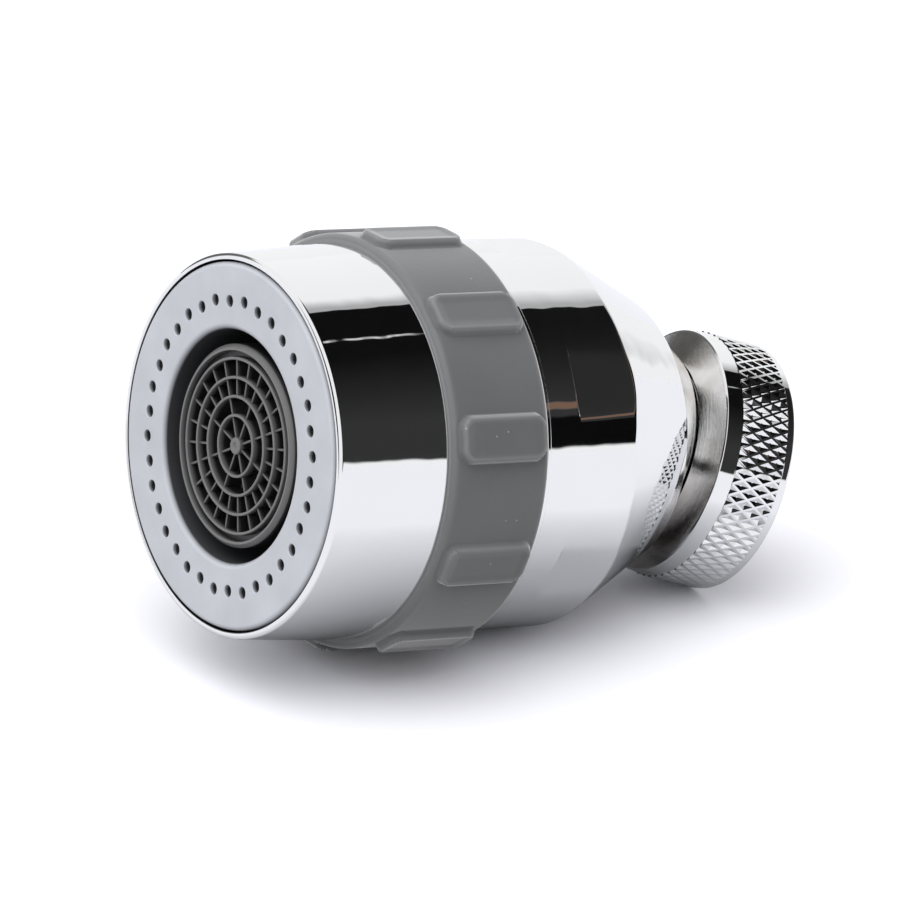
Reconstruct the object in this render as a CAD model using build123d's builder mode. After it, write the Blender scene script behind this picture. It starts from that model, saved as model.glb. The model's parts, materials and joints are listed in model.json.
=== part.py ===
from build123d import *

import os
from math import cos, degrees, pi, radians, sin, sqrt

# A two-mode swivel aerator for a kitchen tap, in millimetres. The knurled nut screws onto the tap,
# the ball lets the head turn and lean, and turning the gripped front by a quarter turn changes the
# stream from the aerated jet in the middle to the ring of fine spray holes.
#
# The head is built along its own axis. A depth is measured from the spray face towards the tap.
# The ball stem and the nut have an axis of their own through the middle of the ball, and reaches
# along it are measured from there. The whole thing lies on one grip pad and the rim of the nut.

# Spray face and its collar
plate_radius = 18.45
plate_thickness = 1.8
plate_edge_round = 0.6
opening_radius = 11.7
opening_round = 0.6
collar_wall = 1.2
collar_length = 9.8
skirt_wall = 1.1
skirt_setback = 0.85
skirt_length = collar_length - skirt_setback

# Spray holes in two staggered rings
hole_count = 36
hole_radius = 0.6
hole_ring_outer = 14.67
hole_ring_inner = 14.47
hole_phase = -23.75

# Front sleeve
plate_gap = 0.1
sleeve_lip_width = 0.7
sleeve_taper = 0.75
sleeve_set_back = 0.15
sleeve_lip_round = 0.45
sleeve_inner_round = 0.15
recess_radius = plate_radius + plate_gap
sleeve_front_radius = recess_radius + sleeve_lip_width
sleeve_rear_radius = sleeve_front_radius + sleeve_taper

# Grip band and its pads
band_depth = 12.7
band_length = 11.7
band_seat_step = 0.8
band_thickness = 1.7
band_round = 0.6
band_overhang = 0.2
pad_count = 10
pad_height = 0.8
pad_setback = 0.7
pad_width = 4.9
pad_corner = 1.5
pad_edge_round = 0.4
pad_root = 0.5
sleeve_wall = 1.95
band_seat_radius = sleeve_rear_radius - band_seat_step
band_radius = band_seat_radius + band_thickness
pad_radius = band_radius + pad_height
pad_length = band_length - 2 * pad_setback
band_end = band_depth + band_length
pad_end = band_end - pad_setback
sleeve_end = band_end - band_overhang
sleeve_bore_radius = band_seat_radius - sleeve_wall

# Rear shell
shell_gap = 0.2
shell_step = 0.1
bead_height = 0.3
bead_length = 0.5
bead_round = 0.12
flat_count = 6
flat_cut = 0.33
flat_setback = 4.2
flat_length = 7.2
flat_phase = -2.5
shell_taper = 0.1
shoulder_round = 0.5
cone_length = 10.7
turn_clearance = 0.06
spigot_wall = 1.69
body_seal_setback = 4.2
shell_front = band_end + shell_gap
shell_radius = sleeve_rear_radius - shell_step
bead_radius = shell_radius + bead_height
flat_depth = shell_front + flat_setback
flat_distance = shell_radius - flat_cut
shoulder_depth = flat_depth + flat_length
shoulder_radius = shell_radius - shell_taper
mouth_depth = shoulder_depth + cone_length
spigot_radius = sleeve_bore_radius - turn_clearance
shell_bore_radius = spigot_radius - spigot_wall

# Ball joint, held in the mouth of the shell
ball_radius = 12.6
ball_setback = 3.4
ball_front_cut = 8.5
stem_bore_radius = 6.0
lean = 16.2
lean_towards = 139.2
lip_overlap = 0.25
lip_land = 0.6
lip_slope = 1.3
mouth_land = 1.75
mouth_round = 0.4
seat_step_setback = 2.0
ball_clearance = 0.3
seal_clearance = 0.12
slip_clearance = 0.05
slip_front_reach = 0.5
slip_edge_inset = 0.18
slip_wall_gap = 0.05
slip_cone_gap = 0.15
slip_tip_land = 0.1
retainer_wall = 1.2
retainer_passage_inset = 2.4
retainer_shoulder_setback = 9.7
retainer_rear_setback = 3.0
ball_seal_setback = 6.0
ball_seal_wire = 1.0
ball_depth = mouth_depth - ball_setback
lip_radius = ball_radius - lip_overlap
mouth_radius = lip_radius + mouth_land
seat_step_depth = ball_depth - seat_step_setback
slip_edge_radius = ball_radius - slip_edge_inset
retainer_passage_radius = ball_radius - retainer_passage_inset
retainer_shoulder_depth = ball_depth - retainer_shoulder_setback

# Aerator cartridge
fit_clearance = 0.05
air_gap = 1.5
rim_front = 0.65
rim_bevel = 0.4
rim_lip_width = 0.24
rim_groove_depth = 0.85
cup_recess_wall = 1.25
cup_bore_step = 0.55
cup_ledge_depth = 3.6
cup_overrun = 0.2
cup_rear_recess = 2.0
cup_flange_length = 1.7
air_slot_count = 8
air_slot_width = 3.2
air_slot_depth = 3.9
air_slot_length = 1.2
rim_radius = opening_radius - air_gap
cup_recess_radius = rim_radius - cup_recess_wall
cup_bore_radius = cup_recess_radius - cup_bore_step
cup_length = collar_length + cup_overrun
cup_rear_ledge_depth = cup_length - cup_rear_recess

# Grille of rings and spokes
grille_front = 0.75
grille_thickness = 2.2
ring_count = 4
ring_pitch = 1.9
ring_wall = 0.3
hub_radius = 0.87
spoke_width = 0.24
spoke_set_back = 0.3
outer_spokes = 24
inner_spokes = 8
inner_spoke_phase = 15.0
ring_radii = [cup_recess_radius - fit_clearance - ring_pitch * ring for ring in range(ring_count)]

# Screens, jet disc and flow limiter
screen_thickness = 0.25
screen_gap = 0.05
jet_disc_setback = 2.6
jet_disc_thickness = 1.2
jet_count = 12
jet_radius = 0.5
jet_ring_inset = 2.8
jet_post_radius = 1.6
limiter_thickness = 1.4
limiter_port_count = 8
limiter_port_radius = 0.7
limiter_port_inset = 3.2
limiter_wire = 0.6
gasket_inner_inset = 1.4
jet_disc_depth = cup_rear_ledge_depth - jet_disc_setback
jet_ring_radius = cup_bore_radius - jet_ring_inset
limiter_port_ring = cup_bore_radius - limiter_port_inset
gasket_inner_radius = cup_bore_radius - gasket_inner_inset

# Flow divider, turning with the front
divider_thickness = 3.6
divider_clearance = 0.1
divider_groove_setback = 0.8
seal_groove_depth = 1.15
seal_groove_width = 1.5
seal_wire = 0.55
chamber_seal_thickness = 1.2
centre_port_radius = 0.9
centre_port_ring = 5.6
spray_port_inset = 3.35
spray_port_width = 1.2
spray_port_half_angle = 7.0
washer_pocket_radius = 3.4
washer_pocket_depth = 1.2
lug_half_angle = 4.0
lug_length = 1.6
lug_end_gap = 0.3
lug_side_gap = 0.5
lug_angle = 30.0
mode_angle = 90.0
spigot_gap = 0.4

# Port disc and its gasket, fixed in the rear shell
slide_gap = 0.05
port_gasket_thickness = 1.0
port_disc_thickness = 3.5
slot_inner_reach = 4.4
slot_outer_inset = 0.65
slot_width = 2.6
boss_radius = 3.4
boss_length = 2.6

# Pivot screw
screw_radius = 1.5
screw_head_radius = 2.8
screw_head_height = 1.6
screw_slot_width = 0.6
screw_slot_depth = 0.7
pivot_washer_radius = 3.0
pivot_washer_thickness = 0.5
screw_tip_setback = 0.4

# Inlet nut
neck_clearance = 0.06
nut_face_margin = 0.44
nut_ball_gap = 0.22
ridge_setback = 1.5
ridge_drop = 0.3
collar_width = 1.7
knurl_width = 5.4
knurl_height = 0.1
knurl_step = 0.12
end_rim_width = 1.05
nut_end_round = 0.4
nut_wall = 2.5
nut_web_setback = 2.4
thread_radius = 10.5
thread_lead_in = 0.5
relief_depth = 0.4
relief_margin = 0.1
clip_gap = 0.07
clip_thickness = 0.76
clip_groove_depth = 0.55
clip_groove_play = 0.05
clip_clearance = 1.0
clip_height = 0.9
clip_opening = 50.0
neck_overrun = 0.27
inlet_washer_thickness = 1.5
inlet_washer_inner_radius = 7.0
inlet_washer_clearance = 0.1
screen_rim_wall = 0.7
screen_rim_height = 0.5
screen_dome_height = 0.9
screen_wall = 0.3
relief_radius = thread_radius + relief_depth
clip_radius = relief_radius - clip_clearance
neck_radius = clip_radius - clip_height
nut_hole_radius = neck_radius + neck_clearance
nut_hole_edge_radius = nut_hole_radius + nut_face_margin
nut_front_reach = sqrt(ball_radius**2 - nut_hole_edge_radius**2) + nut_ball_gap
nut_hole_start = nut_front_reach + nut_face_margin
knurl_radius = thread_radius + nut_wall
nut_end_radius = knurl_radius - knurl_height
ridge_radius = knurl_radius - ridge_drop
ridge_reach = nut_front_reach + ridge_setback
collar_end_reach = ridge_reach + collar_width
knurl_end_reach = collar_end_reach + knurl_width
nut_end_reach = knurl_end_reach + end_rim_width
nut_web_reach = nut_front_reach + nut_web_setback

# Where one piece meets the next
divider_depth = collar_length + chamber_seal_thickness
divider_end = divider_depth + divider_thickness
divider_radius = sleeve_bore_radius - divider_clearance
spray_port_ring = divider_radius - spray_port_inset
spigot_depth = divider_end + spigot_gap
gasket_thickness = divider_depth - cup_length
recess_depth = skirt_length + fit_clearance
port_gasket_depth = divider_end + slide_gap
port_disc_depth = port_gasket_depth + port_gasket_thickness
port_disc_end = port_disc_depth + port_disc_thickness
port_disc_radius = shell_bore_radius - fit_clearance
slot_outer_reach = port_disc_radius - slot_outer_inset
divider_seal_depth = divider_depth + divider_groove_setback + seal_groove_width / 2
body_seal_depth = spigot_depth + body_seal_setback
seal_ring_radius = sleeve_bore_radius - fit_clearance - seal_wire
pivot_washer_depth = divider_depth + washer_pocket_depth - pivot_washer_thickness - slide_gap
screw_head_depth = pivot_washer_depth - screw_head_height
screw_tip_depth = port_disc_end + boss_length - screw_tip_setback
rim_lip_radius = rim_radius - rim_bevel - rim_lip_width
inner_screen_depth = cup_ledge_depth - screen_thickness - screen_gap
outlet_screen_depth = inner_screen_depth - screen_thickness - screen_gap
jet_disc_end = jet_disc_depth + jet_disc_thickness
inner_spoke_length = ring_radii[-2] - ring_wall / 2 - hub_radius / 2
inner_spoke_middle = hub_radius / 2 + inner_spoke_length / 2
limiter_ring_depth = cup_rear_ledge_depth + limiter_thickness + limiter_wire + fit_clearance
slot_middle = (slot_inner_reach + slot_outer_reach) / 2
slot_length = slot_outer_reach - slot_inner_reach
lip_depth = mouth_depth - lip_land
seat_radius = lip_radius + lip_slope
slip_outer_radius = seat_radius - slip_wall_gap
slip_edge_depth = ball_depth + sqrt((ball_radius + slip_clearance) ** 2 - slip_edge_radius**2)
slip_tip_depth = slip_edge_depth + slip_tip_land
slip_cone_sum = lip_radius + lip_depth - slip_cone_gap
slip_tip_radius = slip_cone_sum - slip_tip_depth
slip_cone_depth = slip_cone_sum - slip_outer_radius
retainer_end = ball_depth - retainer_rear_setback
retainer_bore_radius = port_disc_radius - retainer_wall
ball_seal_reach = ball_radius + seal_clearance + ball_seal_wire
ball_seal_radius = sqrt(ball_seal_reach**2 - ball_seal_setback**2)
front_cut_radius = sqrt(ball_radius**2 - ball_front_cut**2)
neck_start = sqrt(ball_radius**2 - neck_radius**2)
clip_reach = nut_web_reach + clip_gap
groove_start = clip_reach - clip_groove_play
groove_end = clip_reach + clip_thickness + clip_groove_play
groove_radius = neck_radius - clip_groove_depth
neck_reach = groove_end + neck_overrun
relief_end = neck_reach + inlet_washer_thickness + relief_margin
screen_rim_outer = inlet_washer_inner_radius - fit_clearance
screen_rim_inner = screen_rim_outer - screen_rim_wall
rim_top = neck_reach + screen_rim_height
dome_top = rim_top + screen_dome_height


# How it lies: the lean of the nut and the height of the pads decide how far the nose stands up
def nut_droop(nose_up):
    """Downward part of the nut's axis when the head's nose is up by this angle"""
    along = cos(radians(lean)) * sin(nose_up)
    return along - sin(radians(lean)) * cos(radians(lean_towards)) * cos(nose_up)


def pad_drop(nose_up):
    """How far the rear edge of the lowest pad lies below the middle of the spray face"""
    run = pad_end - pad_edge_round
    return run * sin(nose_up) + (pad_radius - pad_edge_round) * cos(nose_up) + pad_edge_round


def nut_drop(nose_up):
    """How far the rim of the nut lies below the middle of the spray face"""
    droop = nut_droop(nose_up)
    run = ball_depth * sin(nose_up) + (nut_end_reach - nut_end_round) * droop
    return run + (nut_end_radius - nut_end_round) * sqrt(1 - droop**2) + nut_end_round


low, high = 0.0, pi / 4
for _ in range(50):
    nose_up = (low + high) / 2
    if nut_drop(nose_up) < pad_drop(nose_up):
        low = nose_up
    else:
        high = nose_up
face_height = pad_drop(nose_up)

# The part's length along Y, from the lip of the front sleeve to the rim of the nut
lip_run = (sleeve_set_back + sleeve_lip_round) * cos(nose_up)
front_reach = lip_run - (sleeve_front_radius - sleeve_lip_round) * sin(nose_up) - sleeve_lip_round
nut_ahead = cos(radians(lean)) * cos(nose_up)
nut_ahead += sin(radians(lean)) * cos(radians(lean_towards)) * sin(nose_up)
rim_rise = (nut_end_radius - nut_end_round) * sqrt(1 - nut_ahead**2) + nut_end_round
rear_reach = ball_depth * cos(nose_up) + (nut_end_reach - nut_end_round) * nut_ahead + rim_rise
face_middle = Vector(0, -(front_reach + rear_reach) / 2, face_height)

# The head's frame: +Z from the spray face towards the tap, +X to the top
head_frame = Plane(
    origin=face_middle,
    x_dir=(0, sin(nose_up), cos(nose_up)),
    z_dir=(0, cos(nose_up), -sin(nose_up)),
)
head_section = Plane(origin=face_middle, x_dir=head_frame.x_dir, z_dir=-head_frame.y_dir)
head_axis = Axis(face_middle, head_frame.z_dir)


def across_head(angle):
    """Direction square to the head's axis, at an angle from its top"""
    return head_frame.x_dir * cos(radians(angle)) + head_frame.y_dir * sin(radians(angle))


# The nut's frame: +Z from the middle of the ball towards the tap
lean_side = across_head(lean_towards)
nut_dir = head_frame.z_dir * cos(radians(lean)) + lean_side * sin(radians(lean))
ball_middle = face_middle + head_frame.z_dir * ball_depth
nut_side = lean_side * cos(radians(lean)) - head_frame.z_dir * sin(radians(lean))
nut_frame = Plane(origin=ball_middle, x_dir=nut_side, z_dir=nut_dir)
nut_section = Plane(origin=ball_middle, x_dir=nut_side, z_dir=-nut_frame.y_dir)
nut_axis = Axis(ball_middle, nut_dir)


def corner(section, radius, depth):
    """The corner of a profile nearest to this radius and depth"""
    return section.vertices().sort_by_distance((radius, depth))[0]


def ring_sector(inner, outer, start, end):
    """Flat piece of a ring between two angles"""
    with BuildSketch() as piece:
        with BuildLine():
            inside = CenterArc((0, 0), inner, start, end - start)
            outside = CenterArc((0, 0), outer, start, end - start)
            Line(inside @ 0, outside @ 0)
            Line(inside @ 1, outside @ 1)
        make_face()
    return piece.sketch


def from_head_axis(shape):
    """Distance of a face's or an edge's middle from the head's axis"""
    local = head_frame.to_local_coords(shape.center(CenterOf.BOUNDING_BOX))
    return sqrt(local.X**2 + local.Y**2)


# Face plate: rounded disc with a collar round the opening and a skirt inside the sleeve
with BuildPart() as face_plate:
    with BuildSketch(head_section) as section:
        with BuildLine():
            Polyline(
                (opening_radius, 0),
                (plate_radius, 0),
                (plate_radius, skirt_length),
                (plate_radius - skirt_wall, skirt_length),
                (plate_radius - skirt_wall, plate_thickness),
                (opening_radius + collar_wall, plate_thickness),
                (opening_radius + collar_wall, collar_length),
                (opening_radius, collar_length),
                close=True,
            )
        make_face()
        fillet(corner(section, plate_radius, 0), radius=plate_edge_round)
        fillet(corner(section, opening_radius, 0), radius=opening_round)
    revolve(axis=head_axis)
    with BuildSketch(head_frame):
        with PolarLocations(hole_ring_outer, hole_count // 2, start_angle=hole_phase):
            Circle(hole_radius)
        with PolarLocations(hole_ring_inner, hole_count // 2, start_angle=hole_phase + 360 / hole_count):
            Circle(hole_radius)
    extrude(amount=plate_thickness, mode=Mode.SUBTRACT)

# Front sleeve: slightly tapered chromed tube, stepped down under the grip band
with BuildPart() as front_sleeve:
    with BuildSketch(head_section) as section:
        with BuildLine():
            Polyline(
                (recess_radius, sleeve_set_back),
                (sleeve_front_radius, sleeve_set_back),
                (sleeve_rear_radius, band_depth),
                (band_seat_radius, band_depth),
                (band_seat_radius, sleeve_end),
                (sleeve_bore_radius, sleeve_end),
                (sleeve_bore_radius, recess_depth),
                (recess_radius, recess_depth),
                close=True,
            )
        make_face()
        fillet(corner(section, sleeve_front_radius, sleeve_set_back), radius=sleeve_lip_round)
        fillet(corner(section, recess_radius, sleeve_set_back), radius=sleeve_inner_round)
    revolve(axis=head_axis)

# Grip band: rubber ring with rounded lips and a row of flat-topped pads
with BuildPart() as grip_band:
    with BuildSketch(head_section) as section:
        with Locations(((band_seat_radius + band_radius) / 2, (band_depth + band_end) / 2)):
            Rectangle(band_radius - band_seat_radius, band_length)
        fillet(corner(section, band_radius, band_depth), radius=band_round)
        fillet(corner(section, band_radius, band_end), radius=band_round)
    revolve(axis=head_axis)
    band_middle = head_frame.offset((band_depth + band_end) / 2)
    pad_planes = []
    for pad in range(pad_count):
        outward = across_head(pad * 360 / pad_count)
        pad_planes.append(
            Plane(band_middle.origin + outward * pad_radius, x_dir=head_frame.z_dir, z_dir=outward)
        )
    with BuildSketch(*pad_planes):
        RectangleRounded(pad_length, pad_width, pad_corner)
    extrude(amount=-(pad_height + pad_root))
    pad_tops = grip_band.faces().sort_by(from_head_axis)[-pad_count:]
    fillet(pad_tops.edges(), radius=pad_edge_round)

# The divider's lug runs in a notch in the end of the spigot, and its two ends stop the turn
lug_play = degrees(lug_side_gap / shell_bore_radius)
notch_start = lug_angle - lug_half_angle - lug_play
notch_end = lug_angle + mode_angle + lug_half_angle + lug_play

# Rear shell: cylinder with a bead and six spanner flats, cone to the mouth, spigot inside the sleeve
with BuildPart() as rear_shell:
    with BuildSketch(head_section) as section:
        with BuildLine():
            Polyline(
                (shell_bore_radius, spigot_depth),
                (spigot_radius, spigot_depth),
                (spigot_radius, shell_front),
                (bead_radius, shell_front),
                (bead_radius, shell_front + bead_length),
                (shell_radius, shell_front + bead_length),
                (shoulder_radius, shoulder_depth),
                (mouth_radius, mouth_depth),
                (lip_radius, mouth_depth),
                (lip_radius, lip_depth),
                (seat_radius, lip_depth - lip_slope),
                (seat_radius, seat_step_depth),
                (shell_bore_radius, seat_step_depth),
                close=True,
            )
        make_face()
        fillet(corner(section, shoulder_radius, shoulder_depth), radius=shoulder_round)
        fillet(corner(section, mouth_radius, mouth_depth), radius=mouth_round)
        fillet(corner(section, bead_radius, shell_front), radius=bead_round)
        fillet(corner(section, bead_radius, shell_front + bead_length), radius=bead_round)
    revolve(axis=head_axis)
    with BuildSketch(head_frame.offset(flat_depth)):
        Circle(bead_radius)
        RegularPolygon(
            flat_distance,
            flat_count,
            major_radius=False,
            rotation=flat_phase + 180 / flat_count,
            mode=Mode.SUBTRACT,
        )
    extrude(amount=shoulder_depth + 2 * shoulder_round - flat_depth, mode=Mode.SUBTRACT)
    with BuildSketch(head_section):
        with Locations((spigot_radius, body_seal_depth)):
            Rectangle(seal_groove_depth * 2, seal_groove_width)
    revolve(axis=head_axis, mode=Mode.SUBTRACT)
    with BuildSketch(head_frame.offset(spigot_depth)):
        add(ring_sector(shell_bore_radius - fit_clearance, sleeve_bore_radius, notch_start, notch_end))
    extrude(amount=lug_length, mode=Mode.SUBTRACT)

# Flow divider: disc with centre ports, spray ports, a seal groove and the lug that limits the turn
with BuildPart() as flow_divider:
    with BuildSketch(head_section):
        with Locations((divider_radius / 2, (divider_depth + divider_end) / 2)):
            Rectangle(divider_radius, divider_thickness)
        with Locations((divider_radius, divider_seal_depth)):
            Rectangle(seal_groove_depth * 2, seal_groove_width, mode=Mode.SUBTRACT)
        with Locations((0, divider_depth)):
            Rectangle(washer_pocket_radius * 2, washer_pocket_depth * 2, mode=Mode.SUBTRACT)
    revolve(axis=head_axis)
    with BuildSketch(head_frame.offset(divider_depth)):
        Circle(screw_radius + turn_clearance)
        with PolarLocations(centre_port_ring, 2):
            Circle(centre_port_radius)
        for middle in (90, 270):
            add(
                ring_sector(
                    spray_port_ring - spray_port_width / 2,
                    spray_port_ring + spray_port_width / 2,
                    middle - spray_port_half_angle,
                    middle + spray_port_half_angle,
                )
            )
    extrude(amount=divider_thickness, mode=Mode.SUBTRACT)
    with BuildSketch(head_frame.offset(divider_end)):
        add(
            ring_sector(
                shell_bore_radius + divider_clearance,
                divider_radius,
                lug_angle - lug_half_angle,
                lug_angle + lug_half_angle,
            )
        )
    extrude(amount=spigot_depth + lug_length - lug_end_gap - divider_end)

# Port gasket and port disc: two slots that feed either the centre ports or the spray ports
with BuildPart() as port_gasket:
    with BuildSketch(head_frame.offset(port_gasket_depth)):
        Circle(port_disc_radius)
        Circle(screw_radius + turn_clearance, mode=Mode.SUBTRACT)
        with PolarLocations(slot_middle, 2):
            Rectangle(slot_length, slot_width, mode=Mode.SUBTRACT)
    extrude(amount=port_gasket_thickness)

with BuildPart() as port_disc:
    with BuildSketch(head_frame.offset(port_disc_depth)):
        Circle(port_disc_radius)
        with PolarLocations(slot_middle, 2):
            Rectangle(slot_length, slot_width, mode=Mode.SUBTRACT)
    extrude(amount=port_disc_thickness)
    with BuildSketch(head_frame.offset(port_disc_end)):
        Circle(boss_radius)
    extrude(amount=boss_length)
    with BuildSketch(head_frame.offset(port_disc_depth)):
        Circle(screw_radius + fit_clearance)
    extrude(amount=port_disc_thickness + boss_length, mode=Mode.SUBTRACT)

# Pivot screw and its washer: they hold the divider to the port disc and let it turn
with BuildPart() as pivot_washer:
    with BuildSketch(head_frame.offset(pivot_washer_depth)):
        Circle(pivot_washer_radius)
        Circle(screw_radius + turn_clearance, mode=Mode.SUBTRACT)
    extrude(amount=pivot_washer_thickness)

with BuildPart() as pivot_screw:
    with BuildSketch(head_frame.offset(screw_head_depth)):
        Circle(screw_head_radius)
    extrude(amount=screw_head_height)
    with BuildSketch(head_frame.offset(pivot_washer_depth)):
        Circle(screw_radius)
    extrude(amount=screw_tip_depth - pivot_washer_depth)
    with BuildSketch(head_frame.offset(screw_head_depth)):
        Rectangle(screw_head_radius * 2, screw_slot_width)
    extrude(amount=screw_slot_depth, mode=Mode.SUBTRACT)

# Seals between the divider, the sleeve and the shell
with BuildPart() as divider_seal:
    with BuildSketch(head_section):
        with Locations((seal_ring_radius, divider_seal_depth)):
            Circle(seal_wire)
    revolve(axis=head_axis)

with BuildPart() as body_seal:
    with BuildSketch(head_section):
        with Locations((seal_ring_radius, body_seal_depth)):
            Circle(seal_wire)
    revolve(axis=head_axis)

with BuildPart() as chamber_seal:
    with BuildSketch(head_frame.offset(collar_length)):
        Circle(opening_radius + collar_wall)
        Circle(opening_radius, mode=Mode.SUBTRACT)
    extrude(amount=chamber_seal_thickness)

# Aerator cup: bevelled rim, recess for the grille, air slots and the flange that closes the air gap
with BuildPart() as aerator_cup:
    with BuildSketch(head_section):
        with BuildLine():
            Polyline(
                (rim_radius, rim_front + rim_bevel),
                (rim_lip_radius + rim_lip_width, rim_front),
                (rim_lip_radius, rim_front),
                (rim_lip_radius, rim_front + rim_groove_depth),
                (cup_recess_radius, rim_front + rim_groove_depth),
                (cup_recess_radius, cup_ledge_depth),
                (cup_bore_radius, cup_ledge_depth),
                (cup_bore_radius, cup_rear_ledge_depth),
                (cup_recess_radius, cup_rear_ledge_depth),
                (cup_recess_radius, cup_length),
                (opening_radius - fit_clearance, cup_length),
                (opening_radius - fit_clearance, cup_length - cup_flange_length),
                (rim_radius, cup_length - cup_flange_length),
                close=True,
            )
        make_face()
    revolve(axis=head_axis)
    with BuildSketch(head_frame.offset(air_slot_depth)):
        with PolarLocations((rim_radius + cup_bore_radius) / 2, air_slot_count):
            Rectangle(rim_radius, air_slot_width)
        Circle(cup_bore_radius / 2, mode=Mode.SUBTRACT)
    extrude(amount=air_slot_length, mode=Mode.SUBTRACT)

# Grille: four thin rings and a hub on fine spokes, each ring standing a little proud of the spokes
with BuildPart() as aerator_grille:
    with BuildSketch(head_frame.offset(grille_front)):
        for radius in ring_radii:
            Circle(radius)
            Circle(radius - ring_wall, mode=Mode.SUBTRACT)
        Circle(hub_radius)
    extrude(amount=grille_thickness)
    with BuildSketch(head_frame.offset(grille_front + spoke_set_back)):
        for radius in ring_radii[:2]:
            with PolarLocations(radius - (ring_pitch + ring_wall) / 2, outer_spokes):
                Rectangle(ring_pitch, spoke_width)
        with PolarLocations(inner_spoke_middle, inner_spokes, start_angle=inner_spoke_phase):
            Rectangle(inner_spoke_length, spoke_width)
    extrude(amount=grille_thickness - spoke_set_back)


def disc_screen(depth):
    """A woven screen as one thin disc"""
    with BuildPart() as screen:
        with BuildSketch(head_frame.offset(depth)):
            Circle(cup_recess_radius - fit_clearance * 2)
        extrude(amount=screen_thickness)
    return screen


outlet_screen = disc_screen(outlet_screen_depth)
inner_screen = disc_screen(inner_screen_depth)

# Jet disc: a ring of fine holes, held off the limiter by a post
with BuildPart() as jet_disc:
    with BuildSketch(head_frame.offset(jet_disc_depth)):
        Circle(cup_bore_radius - fit_clearance)
        with PolarLocations(jet_ring_radius, jet_count):
            Circle(jet_radius, mode=Mode.SUBTRACT)
    extrude(amount=jet_disc_thickness)
    with BuildSketch(head_frame.offset(jet_disc_end)):
        Circle(jet_post_radius)
    extrude(amount=cup_rear_ledge_depth - jet_disc_end)

# Flow limiter: disc with a rubber ring lying over its ports
with BuildPart() as flow_limiter:
    with BuildSketch(head_frame.offset(cup_rear_ledge_depth)):
        Circle(cup_recess_radius - fit_clearance)
        with PolarLocations(limiter_port_ring, limiter_port_count):
            Circle(limiter_port_radius, mode=Mode.SUBTRACT)
    extrude(amount=limiter_thickness)

with BuildPart() as limiter_ring:
    with BuildSketch(head_section):
        with Locations((limiter_port_ring, limiter_ring_depth)):
            Circle(limiter_wire)
    revolve(axis=head_axis)

with BuildPart() as aerator_gasket:
    with BuildSketch(head_frame.offset(cup_length)):
        Circle(opening_radius - collar_wall)
        Circle(gasket_inner_radius, mode=Mode.SUBTRACT)
    extrude(amount=gasket_thickness)

# Ball retainer: long threaded sleeve that presses the seal on the ball
with BuildPart() as ball_retainer:
    with BuildSketch(head_section) as section:
        with BuildLine():
            Polyline(
                (retainer_passage_radius, retainer_end),
                (port_disc_radius, retainer_end),
                (port_disc_radius, port_disc_end),
                (retainer_bore_radius, port_disc_end),
                (retainer_bore_radius, retainer_shoulder_depth),
                (retainer_passage_radius, retainer_shoulder_depth),
                close=True,
            )
        make_face()
        with Locations((0, ball_depth)):
            Circle(ball_radius + ball_clearance, mode=Mode.SUBTRACT)
        with Locations((ball_seal_radius, ball_depth - ball_seal_setback)):
            Circle(ball_seal_wire + fit_clearance, mode=Mode.SUBTRACT)
    revolve(axis=head_axis)

with BuildPart() as ball_seal:
    with BuildSketch(head_section):
        with Locations((ball_seal_radius, ball_depth - ball_seal_setback)):
            Circle(ball_seal_wire)
    revolve(axis=head_axis)

# Slip ring: plastic seat between the ball and the mouth of the shell
with BuildPart() as slip_ring:
    with BuildSketch(head_section):
        with BuildLine():
            Polyline(
                (ball_radius / 2, ball_depth + slip_front_reach),
                (slip_outer_radius, ball_depth + slip_front_reach),
                (slip_outer_radius, slip_cone_depth),
                (slip_tip_radius, slip_tip_depth),
                (slip_edge_radius, slip_edge_depth),
                (ball_radius / 2, slip_edge_depth),
                close=True,
            )
        make_face()
        with Locations((0, ball_depth)):
            Circle(ball_radius + slip_clearance, mode=Mode.SUBTRACT)
    revolve(axis=head_axis)

# Ball stem: hollow ball cut flat at the front, with a neck grooved for the clip
with BuildPart() as ball_stem:
    with BuildSketch(nut_section):
        with BuildLine():
            Polyline(
                (front_cut_radius, -ball_front_cut),
                (stem_bore_radius, -ball_front_cut),
                (stem_bore_radius, neck_reach),
                (neck_radius, neck_reach),
                (neck_radius, groove_end),
                (groove_radius, groove_end),
                (groove_radius, groove_start),
                (neck_radius, groove_start),
                (neck_radius, neck_start),
            )
            ThreePointArc((neck_radius, neck_start), (ball_radius, 0), (front_cut_radius, -ball_front_cut))
        make_face()
    revolve(axis=nut_axis)

# Inlet nut: turned cone face, plain collar, band for the knurl and a plain bore for the thread
with BuildPart() as inlet_nut:
    with BuildSketch(nut_section) as section:
        with BuildLine():
            Polyline(
                (nut_hole_radius, nut_hole_start),
                (nut_hole_edge_radius, nut_front_reach),
                (ridge_radius, ridge_reach),
                (nut_end_radius, collar_end_reach),
                (knurl_radius, collar_end_reach + knurl_step),
                (knurl_radius, knurl_end_reach - knurl_step),
                (nut_end_radius, knurl_end_reach),
                (nut_end_radius, nut_end_reach),
                (thread_radius + thread_lead_in, nut_end_reach),
                (thread_radius, nut_end_reach - thread_lead_in),
                (thread_radius, relief_end),
                (relief_radius, relief_end),
                (relief_radius, nut_web_reach),
                (nut_hole_radius, nut_web_reach),
                close=True,
            )
        make_face()
        fillet(corner(section, nut_end_radius, nut_end_reach), radius=nut_end_round)
    revolve(axis=nut_axis)

# Snap clip in the neck's groove, with an opening
with BuildPart() as nut_clip:
    with BuildSketch(nut_frame.offset(clip_reach)):
        add(ring_sector(groove_radius + fit_clearance, clip_radius, clip_opening / 2, 360 - clip_opening / 2))
    extrude(amount=clip_thickness)

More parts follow.
